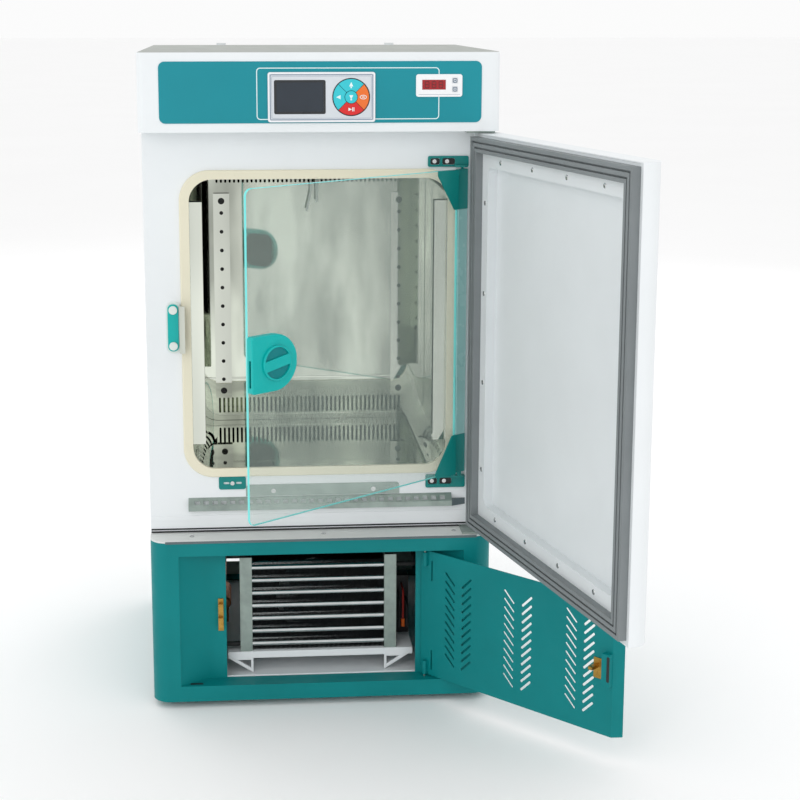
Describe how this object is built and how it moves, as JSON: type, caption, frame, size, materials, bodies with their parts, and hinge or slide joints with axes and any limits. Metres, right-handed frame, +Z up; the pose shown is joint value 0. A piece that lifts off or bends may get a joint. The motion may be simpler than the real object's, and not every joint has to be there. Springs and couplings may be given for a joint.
{
  "type": "laboratory incubator",
  "caption": "Refrigerated laboratory incubator: teal base with a machine bay, white cabinet with a mirror-steel chamber, inner glass door, insulated outer door and a control hood.",
  "frame": {"origin": "on the floor under the middle of the closed cabinet", "axes": "+Z up, +X to the right seen from the front, the front faces -Y"},
  "size_m": [0.7573, 1.0803, 1.116],
  "materials": {
    "teal_paint": "satin",
    "white_paint": "gloss",
    "grey_plate": "satin",
    "teal_plastic": "gloss",
    "pale_plastic": "satin",
    "liner_plastic": "satin",
    "grey_plastic": "satin",
    "black_plastic": "matte",
    "cyan_key": "satin",
    "orange_key": "satin",
    "red_key": "satin",
    "screen": "gloss",
    "led_window": "gloss",
    "cream_seal": "matte",
    "grey_seal": "matte",
    "foot_rubber": "matte",
    "mirror_steel": "polished",
    "zinc": "satin",
    "chrome_steel": "polished",
    "brass": "satin",
    "copper_pipe": "satin",
    "aluminium": "satin",
    "black_metal": "satin",
    "glass": "gloss",
    "foam": "matte"
  },
  "bodies": {
    "cabinet": {"base_shell": "teal_paint", "floor_tray": "white_paint", "ledge_plate": "grey_plate", "rubber_feet": "foot_rubber", "rear_cover": "zinc", "condenser_coil": "aluminium", "condenser_frame": "zinc", "condenser_shelf": "white_paint", "condenser_fan_motor": "black_metal", "compressor": "black_metal", "refrigerant_pipes": "copper_pipe", "wiring": "black_plastic", "roller_catch": "brass", "cabinet_shell": "white_paint", "cabinet_foam": "foam", "cabinet_screws": "chrome_steel", "chamber_liner": "mirror_steel", "chamber_gasket": "cream_seal", "duct_panel": "mirror_steel", "shelf_rails": "mirror_steel", "temperature_probes": "pale_plastic", "evaporator": "aluminium", "chamber_heater": "chrome_steel", "circulation_fan_motor": "black_metal", "glass_hinge_plates": "teal_paint", "keeper_base": "pale_plastic", "latch_keeper": "teal_plastic", "sill_strip": "zinc", "drip_channel": "zinc", "hinge_pins": "zinc", "hood_shell": "white_paint", "fascia_panel": "teal_paint", "controller_bezel": "grey_plastic", "controller_screen": "screen", "limiter_bezel": "pale_plastic", "limiter_display": "led_window", "control_board": "aluminium", "power_inlet": "black_plastic"},
    "main_door": {"door_shell": "white_paint", "door_foam": "foam", "door_liner": "liner_plastic", "door_gasket": "grey_seal", "door_liner_screws": "chrome_steel", "door_bushes": "pale_plastic", "door_pull": "teal_plastic"},
    "glass_door": {"glass_pane": "glass", "glass_stile": "teal_plastic", "glass_handle": "teal_plastic"},
    "latch": {"latch_knob": "teal_plastic"},
    "lower_door": {"flap_panel": "teal_paint", "flap_strike": "brass"},
    "condenser_fan": {"condenser_fan_blades": "aluminium"},
    "circulation_fan": {"circulation_fan_impeller": "aluminium"},
    "key_up_button": {"key_up": "cyan_key"},
    "key_back_button": {"key_back": "cyan_key"},
    "key_run_button": {"key_run": "red_key"},
    "key_set_button": {"key_set": "orange_key"},
    "key_down_button": {"key_down": "cyan_key"},
    "limiter_key_upper_button": {"limiter_key_upper": "grey_plastic"},
    "limiter_key_lower_button": {"limiter_key_lower": "grey_plastic"}
  },
  "joints": [
    {"name": "main_door_hinge", "type": "hinge", "parent": "cabinet", "child": "main_door", "pos_m": [0.2735, -0.253, 0.6415], "axis": [0, 0, 1], "range_deg": [-104.4, 15]},
    {"name": "glass_door_hinge", "type": "hinge", "parent": "cabinet", "child": "glass_door", "pos_m": [0.238, -0.2338, 0.66], "axis": [0, 0, 1], "range_deg": [-38, 5.5]},
    {"name": "latch_turn", "type": "hinge", "parent": "glass_door", "child": "latch", "pos_m": [-0.08319, -0.49515, 0.653], "axis": [-0.6157, 0.788, 0], "range_deg": [0, 45]},
    {"name": "lower_door_hinge", "type": "hinge", "parent": "cabinet", "child": "lower_door", "pos_m": [0.178, -0.257, 0.1555], "axis": [0, 0, 1], "range_deg": [-133.7, 5]},
    {"name": "condenser_fan_spin", "type": "hinge", "parent": "cabinet", "child": "condenser_fan", "pos_m": [-0.0035, -0.126, 0.15], "axis": [0, 1, 0], "continuous": true},
    {"name": "circulation_fan_spin", "type": "hinge", "parent": "cabinet", "child": "circulation_fan", "pos_m": [0, 0.126, 0.8], "axis": [0, 1, 0], "continuous": true},
    {"name": "key_up_press", "type": "slide", "parent": "cabinet", "child": "key_up_button", "axis": [0, 1, 0], "range_m": [0, 0.0008], "stiffness_N_per_m": 500},
    {"name": "key_back_press", "type": "slide", "parent": "cabinet", "child": "key_back_button", "axis": [0, 1, 0], "range_m": [0, 0.0008], "stiffness_N_per_m": 500},
    {"name": "key_run_press", "type": "slide", "parent": "cabinet", "child": "key_run_button", "axis": [0, 1, 0], "range_m": [0, 0.0008], "stiffness_N_per_m": 500},
    {"name": "key_set_press", "type": "slide", "parent": "cabinet", "child": "key_set_button", "axis": [0, 1, 0], "range_m": [0, 0.0008], "stiffness_N_per_m": 500},
    {"name": "key_down_press", "type": "slide", "parent": "cabinet", "child": "key_down_button", "axis": [0, 1, 0], "range_m": [0, 0.0008], "stiffness_N_per_m": 500},
    {"name": "limiter_key_upper_press", "type": "slide", "parent": "cabinet", "child": "limiter_key_upper_button", "axis": [0, 1, 0], "range_m": [0, 0.0006], "stiffness_N_per_m": 500},
    {"name": "limiter_key_lower_press", "type": "slide", "parent": "cabinet", "child": "limiter_key_lower_button", "axis": [0, 1, 0], "range_m": [0, 0.0006], "stiffness_N_per_m": 500}
  ],
  "couplings": [
    {"joint": "glass_door_hinge", "follows": "main_door_hinge", "ratio": 0.36398}
  ]
}
